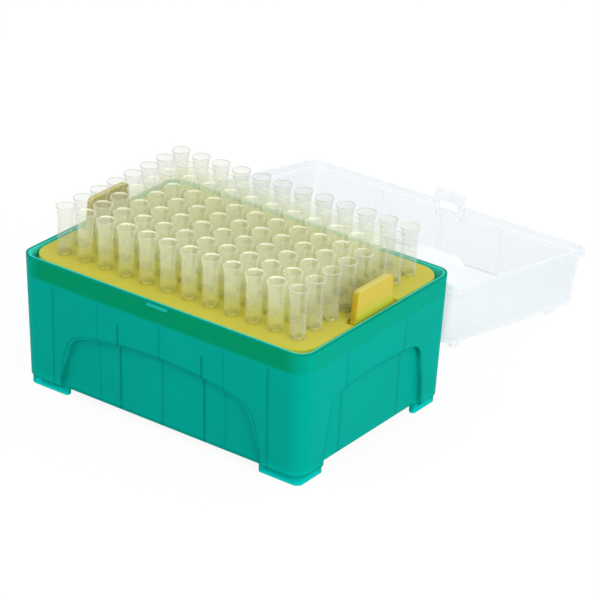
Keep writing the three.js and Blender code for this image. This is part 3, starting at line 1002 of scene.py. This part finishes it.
def addLatch(piece):
    inner = -box["halfY"] - catch["reach"] - latch["gap"]
    outer = inner - latch["wall"]
    half = latch["windowHalf"] + latch["legWidth"]
    low = lid["flangeEdge"] - latch["barDrop"]
    legTop = lid["flangeEdge"] + latch["legHeight"]
    wallFace = lid["wallInset"] - flangeY
    loop = span(-half, half, outer, inner, low, flangeTop)
    roundEdges(loop, lambda edge: along(edge, 1) and middleOf(edge).z < low + 0.1, latch["corner"], 6)
    combine(loop, block(latch["windowHalf"], 10, latch["windowLow"], flangeTop + 1, (0, outer)), "DIFFERENCE")
    combine(piece, loop, "UNION")
    for side in (-1, 1):
        lowX, highX = sorted((side * latch["windowHalf"], side * half))
        root = span(lowX, highX, outer, -box["halfY"] - lid["flangeGap"], lid["flangeEdge"], flangeTop)
        combine(piece, root, "UNION")
        ridge = span(lowX, highX, outer, wallFace + lid["wall"] / 2, flangeTop - 0.3, legTop)
        for vertex in ridge.data.vertices:
            if vertex.co.z / mm > flangeTop and vertex.co.y / mm < outer + 0.1:
                vertex.co.z = flangeTop * mm
        combine(piece, ridge, "UNION")
    halfX = latch["windowHalf"]
    front = -box["halfY"]
    window = span(-halfX, halfX, outer - 3, front, latch["windowLow"], latch["windowHigh"])
    combine(piece, window, "DIFFERENCE")
    slot = span(-halfX, halfX, inner, front, lid["flangeEdge"] - 1, latch["windowHigh"])
    combine(piece, slot, "DIFFERENCE")


def makeEars():
    ears = []
    backY = flangeY - lid["flangeWall"]
    for station in (-hingeParts["span"], hingeParts["span"]):
        half = hingeParts["earWidth"] / 2
        ear = rod(hingeParts["earRadius"], station - half, station + half, hingeY, hingeZ)
        root = span(station - half, station + half, backY, hingeY + hingeParts["earRadius"] * 0.85, hingeZ,
                    flangeTop - 0.2)
        for vertex in root.data.vertices:
            if vertex.co.z / mm > hingeZ + 1 and vertex.co.y / mm > backY + 0.1:
                vertex.co.y = (flangeY + 0.1) * mm
            if vertex.co.z / mm < hingeZ + 0.1 and vertex.co.y / mm < backY + 0.1:
                vertex.co.y = (hingeY - 0.9) * mm
        combine(ear, root, "UNION")
        pinReach = half + hingeParts["sideGap"] + hingeParts["lugWidth"]
        pin = rod(hingeParts["pinRadius"], station - pinReach, station + pinReach, hingeY, hingeZ)
        ears.append(combine(ear, pin, "UNION"))
    return joined(ears)


lidCover = makeLid()
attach(lidCover, "lid")
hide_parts("lid")
print("lid made", len(lidCover.data.polygons))

light = {
    "world": 0.80,
    "floorGlow": 0.92,  # the share of the floor that a shadow doesn't darken
    "lamps": (
        ("key", (-0.55, -0.75, 0.95), 0.7, 3.5),
        ("fill", (1.0, -0.35, 0.6), 0.8, 9.0),
        ("back", (0.2, 1.0, 0.8), 0.8, 3.0),
    ),
}


def makeFloor():
    deselectAll()
    bpy.ops.mesh.primitive_plane_add(size=6)
    floor = bpy.context.object
    floor.name = "floor"
    finish = newFinish("floorWhite")
    seen = finish.node("ShaderNodeLightPath", output="Is Camera Ray")
    seen = seen.atLeast(finish.node("ShaderNodeLightPath", output="Is Glossy Ray"))
    glow = finish.node("ShaderNodeEmission", {}, {"Color": (1, 1, 1, 1), "Strength": 1.0})
    plain = finish.node("ShaderNodeBsdfDiffuse", {}, {"Color": (0.9, 0.9, 0.9, 1)})
    lit = finish.node("ShaderNodeMixShader", {}, {0: light["floorGlow"], 1: plain, 2: glow})
    surface = finish.node("ShaderNodeMixShader", {}, {0: seen, 1: plain, 2: lit})
    floor.data.materials.append(finish.finishWith(surface))


def makeWorld():
    world = bpy.data.worlds.new("studio")
    bpy.context.scene.world = world
    finish = Finish(world)
    seen = finish.node("ShaderNodeLightPath", output="Is Camera Ray")
    dim = finish.node("ShaderNodeBackground", {}, {"Color": (1, 1, 1, 1), "Strength": light["world"]})
    bright = finish.node("ShaderNodeBackground", {}, {"Color": (1, 1, 1, 1), "Strength": 1.0})
    surface = finish.node("ShaderNodeMixShader", {}, {0: seen, 1: dim, 2: bright})
    finish.finishWith(surface, "ShaderNodeOutputWorld")


def addLamp(name, spot, size, power):
    deselectAll()
    bpy.ops.object.light_add(type="AREA", location=spot)
    lamp = bpy.context.object
    lamp.name = name
    lamp.data.shape = "SQUARE"
    lamp.data.size = size
    lamp.data.energy = power
    lamp.rotation_euler = (Vector((0, 0, 0.03)) - Vector(spot)).to_track_quat("-Z", "Y").to_euler()


# The camera looks at a point beside the tips, in mm from the box's middle.
view = {"place": (566.27, -750.53, 497.50), "target": (54.80, -38.23, 67.15), "roll": 2.12, "lens": 183.05}


def makeCamera():
    deselectAll()
    bpy.ops.object.camera_add()
    camera = bpy.context.object
    spot = (Vector(view["place"]) + Vector((0, middleY, 0))) * mm
    target = (Vector(view["target"]) + Vector((0, middleY, 0))) * mm
    turn = (target - spot).to_track_quat("-Z", "Y") @ Quaternion((0, 0, 1), math.radians(view["roll"]))
    camera.location = spot
    camera.rotation_mode = "QUATERNION"
    camera.rotation_quaternion = turn
    camera.data.lens = view["lens"]
    camera.data.sensor_width = 36
    camera.data.clip_start = 0.05
    camera.data.clip_end = 20
    bpy.context.scene.camera = camera


makeFloor()
makeWorld()
for lamp in light["lamps"]:
    addLamp(*lamp)
makeCamera()

scene = bpy.context.scene
scene.view_settings.view_transform = "Standard"
scene.cycles.transparent_max_bounces = 96
print("stage made")
